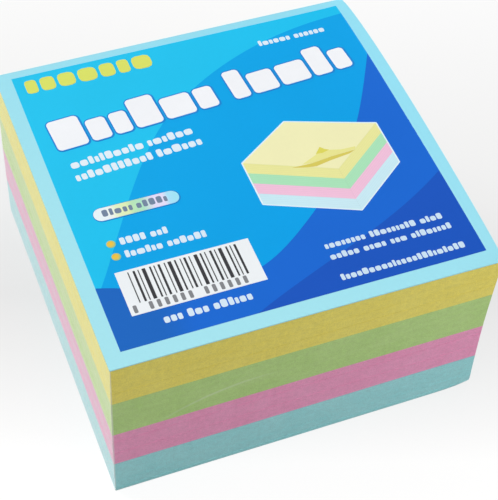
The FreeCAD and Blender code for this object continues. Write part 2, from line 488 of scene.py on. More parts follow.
for node, style in (("print_lines", FINE_STYLE), ("name_bar", BROAD_STYLE)):
    ink[node] = rows_of_blocks(node, style)
    print("Faces of", node, "as blocks:", len(ink[node].data.polygons))

# %% [markdown]
# The same rows stand on the pill, where they are dark, and under the bars of the code patch.
# They are thin films of their own, because their colours differ from what they lie on.

# %% Add rows on the pill and the patch
PILL_ROWS = ((0.10, 0.45), (0.50, 0.86))
PILL_BAND = (0.28, 0.76)
PILL_STYLE = (0.62, 0.22, 0.4)
CODE_GROUPS = (1, 6, 6)
CODE_MARGIN = 0.7 * MM
CODE_AIR = 0.42 * MM
CODE_MARK_SHARE = 0.48
ONE_BLOCK_STYLE = (2.0, 0.2, 1.0)


def level_bar(left, right, near, far):
    """A level bar between these places, in the form that add_row takes."""
    centre = np.array([(left + right) / 2, (near + far) / 2])
    return centre, np.array([1.0, 0.0]), right - left, far - near


def pill_row():
    """Two dark rows on the pill, placed by shares of its length and height."""
    low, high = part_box("colour_pill")
    length, height = high[0] - low[0], high[1] - low[1]
    near, far = (low[1] + share * height for share in PILL_BAND)
    film = bmesh.new()
    for start, end in PILL_ROWS:
        bar = level_bar(low[0] + start * length, low[0] + end * length, near, far)
        add_row(film, bar, PILL_STYLE, SHAPES_TOP, SHAPES_TOP + INK / 2)
    return print_piece("ink_pill_row", film, None, "code_bars")


def code_row():
    """Small marks under the code bars, one alone and two groups."""
    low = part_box("code_patch")[0]
    bars_low, bars_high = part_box("code_bars")
    near, far = low[1] + CODE_AIR, bars_low[1] - CODE_AIR
    start = low[0] + CODE_MARGIN
    pitch = (bars_high[0] - start) / (sum(CODE_GROUPS) + len(CODE_GROUPS) - 1)
    film = bmesh.new()
    for count in CODE_GROUPS:
        for number in range(count):
            left = start + pitch * number
            bar = level_bar(left, left + pitch * CODE_MARK_SHARE, near, far)
            add_row(film, bar, ONE_BLOCK_STYLE, SHAPES_TOP, SHAPES_TOP + INK / 2)
        start += pitch * (count + 1)
    return print_piece("ink_code_row", film, None, "code_bars")


ink["pill_row"] = pill_row()
ink["code_row"] = code_row()
print("Marks under the bars:", sum(CODE_GROUPS))

# %% [markdown]
# ## Rims under the print
#
# White shapes on a bright ground are usually set off by a thin darker rim, and the drawing of
# the block by a white one. A rim is one more film, half as thick as the shape on it: the
# shape's outer hull, rounded and grown by 0.20 to 0.36 mm, and moved a little to the right and
# towards the reader where it stands for a shade.

# %% Make the rims
RIM_TURNS = 12
HEADING_REACH = 0.36 * MM
PILL_REACH = 0.20 * MM
MOTIF_REACH = 0.28 * MM
SHADE_SHIFT = np.array([0.07, -0.09]) * MM
NO_SHIFT = np.zeros(2)


def grown_hull(flat, reach):
    """The outer hull of flat points, grown by reach with rounded corners."""
    angles = np.arange(RIM_TURNS) * 2 * math.pi / RIM_TURNS
    circle = np.column_stack([np.cos(angles), np.sin(angles)]) * reach
    cloud = np.vstack([flat + offset for offset in circle])
    order = convex_hull_2d([tuple(point) for point in cloud])
    return cloud[order]


def rim(name, parts, reach, shift, slot):
    """Thin hulls under parts of the print."""
    film = bmesh.new()
    for part in parts:
        corners = grown_hull(part[:, :2], reach) + shift
        add_prism(film, corners, SHAPES_BOTTOM, SHAPES_BOTTOM + INK / 2)
    return print_piece(name, film, None, slot)


drawing = np.vstack([part for node in MOTIF for part in parts_of(node)])
RIMS = {
    "heading_rim": (parts_of("heading_blocks"), HEADING_REACH, SHADE_SHIFT, "panel_royal_blue"),
    "pill_rim": (parts_of("colour_pill"), PILL_REACH, SHADE_SHIFT, "panel_royal_blue"),
    "motif_rim": ([drawing], MOTIF_REACH, NO_SHIFT, "code_patch"),
}
for name, (parts, reach, shift, slot) in RIMS.items():
    ink[name] = rim(name, parts, reach, shift, slot)
    print(name, "has", len(parts), "hulls")

# %% [markdown]
# ## A lifted corner in the drawing
#
# The plain drawing of a note block shows its use: the uppermost sheet lifts at the front
# corner. Three flat patches draw it: the dark gap below the sheet, the sheet's turned-up
# underside, and a small darker triangle at its tip. Their corners are given from the top
# face's front corner, which is found from the drawing's own solids.

# %% Draw the lifted corner
LIFTED = {
    "lift_gap": (
        (-8.4, 3.0), (-5.6, 2.2), (-3.8, 1.9), (-0.5, 2.5), (3.6, 3.0), (5.0, 3.6),
        (0.0, 3.4), (-4.3, 2.9),
    ),
    "lift_underside": (
        (-6.2, 3.2), (-4.3, 2.95), (0.0, 3.45), (5.0, 3.7), (5.4, 4.4), (2.4, 4.5),
        (-0.1, 5.2), (-1.3, 6.3), (-2.8, 4.7),
    ),
    "lift_tip": ((-2.7, 4.9), (-1.3, 4.75), (0.2, 5.15), (-0.6, 5.6), (-1.3, 6.4)),
}


def drawing_corners():
    """Left, front and right corner of the drawing's top face."""
    places = np.vstack(parts_of("motif_yellow"))[:, :2]
    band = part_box("motif_yellow")[0][1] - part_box("motif_green")[0][1]
    front = places[np.argmin(places[:, 1])] + np.array([0, band])
    left = places[places[:, 0] < places[:, 0].min() + WELD]
    right = places[places[:, 0] > places[:, 0].max() - WELD]
    return left[np.argmax(left[:, 1])], front, right[np.argmax(right[:, 1])]


DRAWN_LEFT, DRAWN_FRONT, DRAWN_RIGHT = drawing_corners()
for level, (name, corners) in enumerate(LIFTED.items()):
    film = bmesh.new()
    flat = [DRAWN_FRONT + np.array(corner) * MM for corner in corners]
    add_prism(film, flat, SHAPES_TOP, SHAPES_TOP + INK * (level + 1) / 4)
    ink[name] = print_piece("ink_" + name, film, None, "motif_yellow")
print("Front corner of the drawing's top:", (DRAWN_FRONT / MM).round(1), "mm")

# %% [markdown]
# ## Node groups: effects that several materials share
#
# Paper fibre, the lines between cut sheets and the dots of a print run appear on many pieces
# at different strengths. Each is built once as a node group. A group here puts out only
# numbers that vary over the surface. The shader stays in each material, where its plain
# numbers can be read and changed.

# %% Helpers for node groups
NOISE_SPREAD = 4.0


def new_group(name, inputs, outputs):
    """An empty shader node group with number inputs (name, value) and number outputs."""
    group = bpy.data.node_groups.new(name, "ShaderNodeTree")
    for label, value in inputs:
        socket = group.interface.new_socket(label, in_out="INPUT", socket_type="NodeSocketFloat")
        socket.default_value = value
    for label in outputs:
        group.interface.new_socket(label, in_out="OUTPUT", socket_type="NodeSocketFloat")
    return group, group.nodes.new("NodeGroupInput"), group.nodes.new("NodeGroupOutput")


def feed(tree, socket, value):
    """Links a socket to the value, or sets it where the value is plain."""
    if isinstance(value, bpy.types.NodeSocket):
        tree.links.new(value, socket)
    else:
        socket.default_value = value


def maths(tree, operation, *values):
    """A Math node fed by numbers or sockets; gives back its output."""
    node = tree.nodes.new("ShaderNodeMath")
    node.operation = operation
    for socket, value in zip(node.inputs, values):
        feed(tree, socket, value)
    return node.outputs[0]


def place_axes(tree):
    """X, Y and Z of the point being shaded, in metres in the object's own frame."""
    split = tree.nodes.new("ShaderNodeSeparateXYZ")
    feed(tree, split.inputs[0], tree.nodes.new("ShaderNodeTexCoord").outputs["Object"])
    return split.outputs[0], split.outputs[1], split.outputs[2]


def noise(tree, size, detail):
    """Noise from about -1 to 1, with grains of this size in metres: one number or three."""
    mapping = tree.nodes.new("ShaderNodeMapping")
    mapping.inputs["Scale"].default_value = [1 / s for s in np.broadcast_to(size, 3)]
    feed(tree, mapping.inputs["Vector"], tree.nodes.new("ShaderNodeTexCoord").outputs["Object"])
    texture = tree.nodes.new("ShaderNodeTexNoise")
    texture.inputs["Scale"].default_value = 1.0
    texture.inputs["Detail"].default_value = detail
    feed(tree, texture.inputs["Vector"], mapping.outputs[0])
    centred = maths(tree, "SUBTRACT", texture.outputs["Fac"], 0.5)
    return maths(tree, "MULTIPLY", centred, NOISE_SPREAD)


def between(tree, value, start, end):
    """0 before start, 1 after end, and smooth between them."""
    node = tree.nodes.new("ShaderNodeMapRange")
    node.interpolation_type = "SMOOTHSTEP"
    feed(tree, node.inputs["Value"], value)
    feed(tree, node.inputs["From Min"], start)
    feed(tree, node.inputs["From Max"], end)
    return node.outputs["Result"]


def print_sockets(group):
    """Says what a group takes in and puts out."""
    sockets = [(item.in_out.lower(), item.name) for item in group.interface.items_tree]
    print(group.name, sockets)


print("Noise is centred on 0 and spread", NOISE_SPREAD, "times")

# %% [markdown]
# ### Paper fibre
#
# Uncoated paper is a felt of short fibres. From near by it shows as soft clouds about a
# millimetre wide and as small flecks, and closer still as a fine grain. Broad blotches come
# from uneven dye and pressing. The group gives clouds, flecks and blotches for the colour, and
# grain for the height.

# %% Build the fibre group
BLOTCH_SIZE = 5.5 * MM
CLOUD_SIZE = 1.1 * MM
FLECK_SIZE = 0.28 * MM
GRAIN_SIZE = 0.09 * MM


def fibre_group():
    """Clouds with flecks, broad blotches, and the height of the grain, about -1 to 1."""
    group, given, result = new_group(
        "Paper fibre", [("Clouds", 1.0), ("Flecks", 1.0)], ["Tone", "Blotches", "Height"]
    )
    clouds = maths(group, "MULTIPLY", noise(group, CLOUD_SIZE, 2.0), given.outputs["Clouds"])
    flecks = noise(group, FLECK_SIZE, 1.0)
    tone = maths(group, "MULTIPLY_ADD", flecks, given.outputs["Flecks"], clouds)
    feed(group, result.inputs["Tone"], tone)
    feed(group, result.inputs["Blotches"], noise(group, BLOTCH_SIZE, 2.0))
    feed(group, result.inputs["Height"], noise(group, GRAIN_SIZE, 2.0))
    return group


FIBRE = fibre_group()
print_sockets(FIBRE)

# %% [markdown]
# ### Cut sheet edges
#
# On the sides one sees only cut edges. Each sheet takes a slightly different tone, and bundles
# of sheets that were cut a hair further out catch more light, which is painted into the tone as
# paler and darker bands. Both follow the height, broken up along the side by a stretched noise,
# so the lines come and go as on real paper. Where two cut faces meet in an upright corner the
# fibres are frayed, and the corner is also painted paler as a highlight along the upright edge.

# %% Build the cut edge group
STREAK_LENGTH = 6.0 * MM
BUNDLE_HEIGHT = 1.1 * MM
# How far from an upright corner the frayed fibre and its painted highlight reach.
FRAYED_HIGHLIGHT_WIDTH = 0.28 * MM


def cut_edge_group():
    """Tone and height of the sheet lines from -1 to 1, and the frayed corner's painted highlight
    from 0 to 1.
    """
    group, given, result = new_group(
        "Cut sheet edges", [("Lines", 1.0), ("Bundles", 1.0)], ["Tone", "Height", "Frayed highlight"]
    )
    lines = noise(group, (STREAK_LENGTH, STREAK_LENGTH, SHEET_THICKNESS), 1.0)
    # Bundles: broad bands of painted light and shade, for sheets cut a hair further out or in.
    bundles = noise(group, (3 * STREAK_LENGTH, 3 * STREAK_LENGTH, BUNDLE_HEIGHT), 2.0)
    tone = maths(group, "MULTIPLY", lines, given.outputs["Lines"])
    tone = maths(group, "MULTIPLY_ADD", bundles, given.outputs["Bundles"], tone)
    feed(group, result.inputs["Tone"], tone)
    feed(group, result.inputs["Height"], lines)
    x, y, _ = place_axes(group)
    inwards_x = maths(group, "SUBTRACT", HALF_SIDE, maths(group, "ABSOLUTE", x))
    inwards_y = maths(group, "SUBTRACT", HALF_SIDE, maths(group, "ABSOLUTE", y))
    inwards = maths(group, "MAXIMUM", inwards_x, inwards_y)
    feed(group, result.inputs["Frayed highlight"], between(group, inwards, FRAYED_HIGHLIGHT_WIDTH, 0.0))
    return group


CUT_EDGES = cut_edge_group()
print_sockets(CUT_EDGES)

# %% [markdown]
# ### Knife marks
#
# A nick in the guillotine's blade draws a thin pale line as the blade comes down, in a shallow
# arc because the blade swings. One such arc shows on the near side of the green block, and
# finer, nearly upright scratches all over the cut.

# %% Build the knife mark group
ARC_CENTRE = (-9.0 * MM, -17.2 * MM)
ARC_RADIUS = 41.8 * MM
ARC_ENDS = (-26.0 * MM, -9.5 * MM)
ARC_FADE = 6.0 * MM
MARK_WIDTH = 0.50 * MM
NEAR_SIDE_DEPTH = (1 * MM, 2 * MM)
SCRATCH_SIZE = (0.35 * MM, 0.35 * MM, 6.0 * MM)


def knife_group():
    """The pale arc on the near side from 0 to 1, and the scratches from -1 to 1."""
    group, _, result = new_group("Knife marks", [], ["Arc", "Scratches"])
    x, y, z = place_axes(group)
    away_x = maths(group, "SUBTRACT", x, ARC_CENTRE[0])
    away_z = maths(group, "SUBTRACT", z, ARC_CENTRE[1])
    squares = maths(group, "MULTIPLY", away_x, away_x)
    squares = maths(group, "MULTIPLY_ADD", away_z, away_z, squares)
    off_arc = maths(group, "SUBTRACT", maths(group, "SQRT", squares), ARC_RADIUS)
    mark = between(group, maths(group, "ABSOLUTE", off_arc), MARK_WIDTH, 0.0)
    starts = between(group, x, ARC_ENDS[0] - ARC_FADE, ARC_ENDS[0] + ARC_FADE)
    stops = between(group, x, ARC_ENDS[1] + ARC_FADE, ARC_ENDS[1] - ARC_FADE)
    fully, no_more = (-HALF_SIDE + depth for depth in NEAR_SIDE_DEPTH)
    near_side = between(group, y, no_more, fully)
    mark = maths(group, "MULTIPLY", mark, maths(group, "MULTIPLY", starts, stops))
    feed(group, result.inputs["Arc"], maths(group, "MULTIPLY", mark, near_side))
    feed(group, result.inputs["Scratches"], noise(group, SCRATCH_SIZE, 1.0))
    return group


KNIFE = knife_group()
print_sockets(KNIFE)

# %% [markdown]
# ### Print dots
#
# Offset print lays ink as rows of tiny dots. They are far too small to see from a step away,
# but close up they keep a field of ink from looking like plastic. A product of two sine waves
# on turned axes gives them, and the ink's own tone drifts slowly over the sheet.

# %% Build the print dot group
DOT_PITCH = 0.17 * MM
DRIFT_SIZE = 12.0 * MM
SCREEN_ANGLE = 0.26


def print_dot_group():
    """Dots and slow drift of the ink, together from about -1 to 1."""
    group, given, result = new_group(
        "Print dots", [("Screen angle", SCREEN_ANGLE), ("Dots", 0.5), ("Drift", 0.3)], ["Tone"]
    )
    x, y, _ = place_axes(group)
    cosine = maths(group, "COSINE", given.outputs["Screen angle"])
    sine = maths(group, "SINE", given.outputs["Screen angle"])
    turned_x = maths(group, "MULTIPLY_ADD", x, cosine, maths(group, "MULTIPLY", y, sine))
    y_part = maths(group, "MULTIPLY", y, cosine)
    turned_y = maths(group, "SUBTRACT", y_part, maths(group, "MULTIPLY", x, sine))
    turns = 2 * math.pi / DOT_PITCH
    waves = [maths(group, "SINE", maths(group, "MULTIPLY", t, turns)) for t in (turned_x, turned_y)]
    dots = maths(group, "MULTIPLY", maths(group, "MULTIPLY", *waves), given.outputs["Dots"])
    drift = maths(group, "MULTIPLY", noise(group, DRIFT_SIZE, 1.0), given.outputs["Drift"])
    feed(group, result.inputs["Tone"], maths(group, "ADD", dots, drift))
    return group


PRINT_DOTS = print_dot_group()
print_sockets(PRINT_DOTS)

# %% [markdown]
# ## Materials
#
# All finishes here are paper or ink on paper, so they share one small set of helpers: start a
# material with a Principled BSDF, place a group in it, and shade a colour lighter or darker
# by a tone.

# %% Helpers for materials
MIDDLE_GREY = (128, 128, 128)


def new_material(name, roughness, specular):
    """A material with one Principled BSDF, its node tree and that shader."""
    material = bpy.data.materials.new(name)
    material.use_nodes = True
    shader = material.node_tree.nodes["Principled BSDF"]
    shader.inputs["Roughness"].default_value = roughness
    shader.inputs["Specular IOR Level"].default_value = specular
    return material, material.node_tree, shader


def use_group(tree, group, **values):
    """Places a node group and sets its inputs by name, with _ for a blank."""
    node = tree.nodes.new("ShaderNodeGroup")
    node.node_tree = group
    for label, value in values.items():
        node.inputs[label.replace("_", " ")].default_value = value
    return node.outputs


def scaled(tree, colour, level):
    """The colour times a level, either of them a socket or a plain value."""
    node = tree.nodes.new("ShaderNodeVectorMath")
    node.operation = "SCALE"
    feed(tree, node.inputs[0], colour)
    feed(tree, node.inputs["Scale"], level)
    return node.outputs[0]


def toned(tree, colour, tone, amount):
    """The colour, brighter where tone is above 0 and darker where it is below."""
    return scaled(tree, colour, maths(tree, "MULTIPLY_ADD", tone, amount, 1.0))


def mixed(tree, share, base, other):
    """Base colour towards the other one by a share from 0 to 1."""
    node = tree.nodes.new("ShaderNodeMix")
    node.data_type = "RGBA"
    feed(tree, node.inputs["Factor"], share)
    sockets = [socket for socket in node.inputs if socket.type == "RGBA"]
    for socket, value in zip(sockets, (base, other)):
        is_plain = not isinstance(value, bpy.types.NodeSocket)
        feed(tree, socket, (*value, 1.0) if is_plain else value)
    return next(socket for socket in node.outputs if socket.type == "RGBA")


def ramp(tree, value, stops):
    """Colours along a value from 0 to 1, from stops of place and linear colour."""
    node = tree.nodes.new("ShaderNodeValToRGB")
    node.color_ramp.interpolation = "LINEAR"
    feed(tree, node.inputs["Fac"], value)
    elements = node.color_ramp.elements
    while len(elements) < len(stops):
        elements.new(0.5)
    for element, (place, colour) in zip(elements, stops):
        element.position = place
        element.color = (*colour, 1.0)
    return node.outputs["Color"]


def bumped(tree, shader, height, distance, strength=1.0):
    """Feeds the height through a Bump node into the shader's normal."""
    bump = tree.nodes.new("ShaderNodeBump")
    bump.inputs["Strength"].default_value = strength
    bump.inputs["Distance"].default_value = distance
    feed(tree, bump.inputs["Height"], height)
    feed(tree, shader.inputs["Normal"], bump.outputs[0])


def from_bytes(red, green, blue):
    """A screen colour from 0 to 255 a channel, as the linear colour that shaders use."""
    levels = (red / 255, green / 255, blue / 255)
    return tuple(v / 12.92 if v <= 0.04045 else ((v + 0.055) / 1.055) ** 2.4 for v in levels)


def dress(piece, material):
    """Gives a piece its one material."""
    piece.data.materials.append(material)


print("Screen grey 128 is", round(from_bytes(*MIDDLE_GREY)[0], 3), "in linear light")

# %% [markdown]
# ### Note paper
#
# The notes are dyed through, matte and a little furry at their cut edges. A sheen stands for
# that fur: it turns a side that is seen at a flat angle paler, as the photograph shows on the
# left. Its tint is nearly white. Colours are the paper's own, before light and shade. Where the
# stack was pressed harder the dye looks deeper, which a power of the colour gives.

# %% Make the note paper
NOTE_COLOURS = {
    "yellow_notes": ((0.885, 0.76, 0.13), (0.93, 1.0, 0.74)),
    "green_notes": ((0.475, 0.70, 0.23), (1.0, 1.0, 0.88)),
    "pink_notes": ((0.92, 0.335, 0.58), (0.80, 1.0, 0.93)),
    "blue_notes": ((0.34, 0.78, 0.805), (1.0, 0.92, 0.93)),
}
# Near white for the upright corners: frayed fibre and a painted highlight along the edge.
FRAYED_HIGHLIGHT_COLOUR = (0.95, 0.96, 0.92)
FRAYED_HIGHLIGHT_SHARE = 0.50
ARC_SHARE = 0.22
DEEPER_POWER = 1.35
DEEPER_SHARE = 0.40
SHEEN_WEIGHT = 1.0
SHEEN_ROUGHNESS = 0.42
SHEET_TONE = 0.021
FIBRE_TONE = 0.058
SCRATCH_TONE = 0.014
FIBRE_HEIGHT = 0.4
EDGE_RELIEF = 0.006 * MM
EDGE_BUMP = 0.6


def note_paper(node, colour, sheen_tint):
    """Dyed note paper, seen at its cut edges."""
    material, tree, shader = new_material("paper_" + node, 0.7, 0.4)
    shader.inputs["Sheen Weight"].default_value = SHEEN_WEIGHT
    shader.inputs["Sheen Roughness"].default_value = SHEEN_ROUGHNESS
    shader.inputs["Sheen Tint"].default_value = (*sheen_tint, 1.0)
    # Bundles here carry painted light and shade on the cut edges.
    edges = use_group(tree, CUT_EDGES, Lines=0.35, Bundles=0.30)
    fibre = use_group(tree, FIBRE, Clouds=1.1, Flecks=1.5)
    knife = use_group(tree, KNIFE)
    deep = tuple(level**DEEPER_POWER for level in colour)
    pressed = between(tree, fibre["Blotches"], -1.2, 1.2)
    shown = mixed(tree, maths(tree, "MULTIPLY", pressed, DEEPER_SHARE), colour, deep)
    shown = toned(tree, shown, edges["Tone"], SHEET_TONE)
    shown = toned(tree, shown, fibre["Tone"], FIBRE_TONE)
    shown = toned(tree, shown, knife["Scratches"], SCRATCH_TONE)
    pale = maths(tree, "MULTIPLY", knife["Arc"], ARC_SHARE)
    # Upright corners painted paler: frayed fibre and a painted highlight, added to the knife arc.
    pale = maths(tree, "MULTIPLY_ADD", edges["Frayed highlight"], FRAYED_HIGHLIGHT_SHARE, pale)
    feed(tree, shader.inputs["Base Color"], mixed(tree, pale, shown, FRAYED_HIGHLIGHT_COLOUR))
    height = maths(tree, "MULTIPLY_ADD", fibre["Height"], FIBRE_HEIGHT, edges["Height"])
    bumped(tree, shader, height, EDGE_RELIEF, EDGE_BUMP)
    return material


for node, (colour, sheen_tint) in NOTE_COLOURS.items():
    dress(blocks[node], note_paper(node, colour, sheen_tint))
print("Note papers:", list(NOTE_COLOURS))

# %% [markdown]
# ### Cover and backing paper
#
# The cover's border is pale blue paper, calendered smooth, with a little painted shade that
# deepens it towards the far right. The backing sheet under the block is plain, off-white
# and uncoated.
# A colour may be plain, or a function that builds it from nodes.

# %% Make the cover and backing paper
COVER_REACH = HALF_SIDE * 1.7


def washed(start_colour, end_colour, across=-1.0):
    """A colour that drifts to the far left from the near right; across 1 swaps right and left."""

    def build(tree):
        x, y, _ = place_axes(tree)
        share = maths(tree, "MULTIPLY_ADD", x, across, y)
        share = between(tree, share, -COVER_REACH, COVER_REACH)
        return mixed(tree, share, from_bytes(*start_colour), from_bytes(*end_colour))

    return build


def plain_paper(name, colour, roughness, tone, grain):
    """An even sheet of paper with its clouds and grain."""
    material, tree, shader = new_material(name, roughness, 0.2)
    fibre = use_group(tree, FIBRE, Clouds=0.7, Flecks=0.4)
    shown = colour(tree) if callable(colour) else colour
    feed(tree, shader.inputs["Base Color"], toned(tree, shown, fibre["Tone"], tone))
    bumped(tree, shader, fibre["Height"], grain)
    return material


PAPERS = {
    "paper_cover": {
        # Painted shade: the border's blue deepens towards the far right.
        "colour": washed((165, 228, 239), (146, 221, 241), across=1.0),
        "roughness": 0.6,
        "tone": 0.012,
        "grain": 0.003 * MM,
    },
    "paper_backing": {
        "colour": (0.86, 0.85, 0.80),
        "roughness": 0.85,
        "tone": 0.03,
        "grain": 0.008 * MM,
    },
}
for sheet, (name, values) in zip((cover, backing), PAPERS.items()):
    dress(sheet, plain_paper(name, **values))
print("Papers:", list(PAPERS))

# %% [markdown]
# ### Ink
#
# Ink sinks into the paper, so it keeps the paper's grain and gains only a faint gloss. A field
# of the panel also drifts towards a second blue along the panel's diagonal, as a printed
# background does. The royal blue runs out darker in the near left corner. The inks take four
# screen angles in turn, as in print, where rows of dots at one angle would disturb each other.

# %% Make the inks
DARK_CORNER = (-19.0 * MM, -27.0 * MM)
SCREEN_ANGLES = 4
DOT_TONE = 0.05
INK_FIBRE_TONE = 0.01
INK_RELIEF = 0.002 * MM


def ink_material(name, colour, angle=SCREEN_ANGLE):
    """A field of ink on smooth paper."""
    material, tree, shader = new_material("finish_" + name, 0.5, 0.08)
    print_dots = use_group(tree, PRINT_DOTS, Screen_angle=angle)
    fibre = use_group(tree, FIBRE, Clouds=0.6, Flecks=0.4)
    shown = colour(tree) if callable(colour) else colour
    shown = toned(tree, shown, print_dots["Tone"], DOT_TONE)
    feed(tree, shader.inputs["Base Color"], toned(tree, shown, fibre["Tone"], INK_FIBRE_TONE))
    bumped(tree, shader, fibre["Height"], INK_RELIEF)
    return material


def royal_ground(tree):
    """The royal blue, which darkens towards the near left corner."""
    x, _, _ = place_axes(tree)
    even = washed((22, 102, 208), (26, 108, 212))(tree)
    return mixed(tree, between(tree, x, *DARK_CORNER), even, from_bytes(26, 101, 191))


INKS = {
    "panel_light_blue": washed((14, 186, 237), (32, 196, 240)),
    "panel_mid_blue": washed((0, 157, 230), (2, 168, 233)),
    "panel_royal_blue": royal_ground,
    "panel_deep_blue": washed((24, 84, 189), (28, 90, 194)),
    "heading_blocks": from_bytes(243, 245, 249),
    "name_bar": washed((232, 228, 92), (218, 226, 104)),
    "print_lines": washed((202, 225, 243), (232, 243, 250)),
    "code_patch": from_bytes(238, 242, 245),
    "code_bars": from_bytes(58, 58, 62),
    "pill_row": from_bytes(116, 134, 160),
    "code_row": from_bytes(132, 134, 138),
    "heading_rim": from_bytes(26, 134, 212),
    "pill_rim": from_bytes(24, 134, 206),
    "motif_rim": from_bytes(226, 244, 248),
    "lift_gap": from_bytes(216, 202, 94),
    "lift_underside": from_bytes(233, 229, 146),
    "lift_tip": from_bytes(221, 214, 92),
}
for number, (name, colour) in enumerate(INKS.items()):
    angle = SCREEN_ANGLE * (1 + number % SCREEN_ANGLES)
    dress(ink[name], ink_material(name, colour, angle))
print("Inks:", len(INKS))

# %% [markdown]
# ### The drawn block
#
# The drawing's top face is paler than its sides, and fine lines run along the sides as sheet
# edges. All four colours share one recipe. It measures how far a point lies below the top
# face's two near edges, which bend at the front corner, so the lines bend there too.

# %% Make the drawing's inks
DRAWN_PITCH = 0.5 * MM
DRAWN_LINE_TONE = 0.018
TURN_WIDTH = 0.08 * MM
FOLD_WIDTH = 0.16 * MM
FOLD_TONE = -0.07
FRONT_WIDTH = 0.14 * MM
FRONT_TONE = -0.05
DRAWN_SCREEN_ANGLE = 0.9
DRAWN_COLOURS = {
    "motif_yellow": ((241, 238, 186), (233, 231, 156)),
    "motif_green": ((176, 229, 190), (170, 227, 186)),
    "motif_pink": ((242, 200, 224), (240, 192, 218)),
    "motif_pale_blue": ((208, 238, 247), (200, 233, 243)),
}


def drawn_sides(top_colour, side_colour):
    """The drawing's colour at a point, paler on the top face and lined on the sides."""

    def build(tree):
        x, y, _ = place_axes(tree)
        from_front = maths(tree, "SUBTRACT", x, float(DRAWN_FRONT[0]))
        edges = []
        for corner in (DRAWN_LEFT, DRAWN_RIGHT):
            slope = (corner[1] - DRAWN_FRONT[1]) / (corner[0] - DRAWN_FRONT[0])
            edges.append(maths(tree, "MULTIPLY", from_front, float(slope)))
        edge = maths(tree, "ADD", maths(tree, "MAXIMUM", *edges), float(DRAWN_FRONT[1]))
        below = maths(tree, "SUBTRACT", edge, y)
        on_side = between(tree, below, -TURN_WIDTH, TURN_WIDTH)
        face = mixed(tree, on_side, from_bytes(*top_colour), from_bytes(*side_colour))
        wave = maths(tree, "SINE", maths(tree, "MULTIPLY", below, 2 * math.pi / DRAWN_PITCH))
        face = toned(tree, face, maths(tree, "MULTIPLY", wave, on_side), DRAWN_LINE_TONE)
        fold = between(tree, maths(tree, "ABSOLUTE", below), FOLD_WIDTH, 0.0)
        front = between(tree, maths(tree, "ABSOLUTE", from_front), FRONT_WIDTH, 0.0)
        face = toned(tree, face, maths(tree, "MULTIPLY", front, on_side), FRONT_TONE)
        return toned(tree, face, fold, FOLD_TONE)

    return build


for node, colours in DRAWN_COLOURS.items():
    dress(ink[node], ink_material(node, drawn_sides(*colours), DRAWN_SCREEN_ANGLE))
print("Drawn colours:", len(DRAWN_COLOURS))

# %% [markdown]
# ### Pill and bullets
#
# The small round-ended bar shows the notes' colours one after the other, blended into each
# other, which a colour ramp along its length does. The bullets are printed as little balls:
# golden in the middle, paler and greener at the rim. Both measure from their own solids' places.

# %% Make the pill's and the bullets' inks
PILL_STOPS = (
    (0.00, (232, 245, 250)),
    (0.14, (234, 245, 250)),
    (0.21, (238, 243, 234)),
    (0.28, (226, 240, 196)),
    (0.39, (222, 238, 184)),
    (0.46, (186, 229, 184)),
    (0.57, (174, 227, 198)),
    (0.70, (226, 220, 246)),
    (0.82, (226, 221, 247)),
    (0.88, (168, 224, 247)),
    (1.00, (160, 228, 244)),
)
BULLET_STOPS = (
    (0.0, (242, 193, 66)),
    (0.4, (236, 193, 70)),
    (0.7, (208, 198, 102)),
    (1.0, (152, 197, 142)),
)
BALL_SHIFT = 0.15
BALL_REACH = 1.15


def byte_stops(stops):
    """Ramp stops with their screen colours made linear."""
    return [(place, from_bytes(*colour)) for place, colour in stops]


def pill_blend(tree):
    """The pastel colours along the bar."""
    low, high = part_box("colour_pill")
    x, _, _ = place_axes(tree)
    share = maths(tree, "DIVIDE", maths(tree, "SUBTRACT", x, low[0]), high[0] - low[0])
    return ramp(tree, share, byte_stops(PILL_STOPS))


def bullet_balls(tree):
    """A ball's light and shade, a little to the far left of each dot's centre."""
    low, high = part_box("bullet_dots")
    radius = (high[0] - low[0]) / 2
    x, y, _ = place_axes(tree)
    shift = BALL_SHIFT * radius
    off_x = maths(tree, "SUBTRACT", x, low[0] + radius - shift)
    distances = []
    for centre in (low[1] + radius, high[1] - radius):
        off_y = maths(tree, "SUBTRACT", y, centre + shift)
        squares = maths(tree, "MULTIPLY", off_y, off_y)
        squares = maths(tree, "MULTIPLY_ADD", off_x, off_x, squares)
        distances.append(maths(tree, "SQRT", squares))
    share = maths(tree, "DIVIDE", maths(tree, "MINIMUM", *distances), BALL_REACH * radius)
    return ramp(tree, share, byte_stops(BULLET_STOPS))


for node, colour in (("colour_pill", pill_blend), ("bullet_dots", bullet_balls)):
    dress(ink[node], ink_material(node, colour))
print("Pieces with ink:", len(ink))

# %% [markdown]
# ## The studio
#
# The floor is plain and pale, and runs through soft greys away from the viewer, given by
# place in millimetres along the view. Most of what the camera sees of it glows evenly and the
# rest is lit, so the block's shadow shows but stays faint. For the light that it throws back
# on the block, the floor is a mid grey, which keeps the near side in shade.

# %% Make the floor
FLOOR_SIZE = 6.0
FLOOR_BOUNCE = (0.40, 0.40, 0.40)
FLOOR_GLOW = 0.86
VIEW_RUN = Vector((0.320, 0.947))
FLOOR_STOPS = (
    (-42, 1.040),
    (-33, 0.980),
    (-23, 0.925),
    (-13, 0.875),
    (0, 0.817),
    (13, 0.838),
    (25, 0.871),
    (37, 0.888),
    (63, 0.922),
    (93, 0.965),
)


def floor_greys(tree):
    """The floor's grey, which changes along the direction of view."""
    x, y, _ = place_axes(tree)
    run = maths(tree, "MULTIPLY_ADD", y, VIEW_RUN.y, maths(tree, "MULTIPLY", x, VIEW_RUN.x))
    start, end = FLOOR_STOPS[0][0], FLOOR_STOPS[-1][0]
    reach = (end - start) * MM
    share = maths(tree, "DIVIDE", maths(tree, "SUBTRACT", run, start * MM), reach)
    stops = [((place - start) / (end - start), (level,) * 3) for place, level in FLOOR_STOPS]
    return ramp(tree, share, stops)


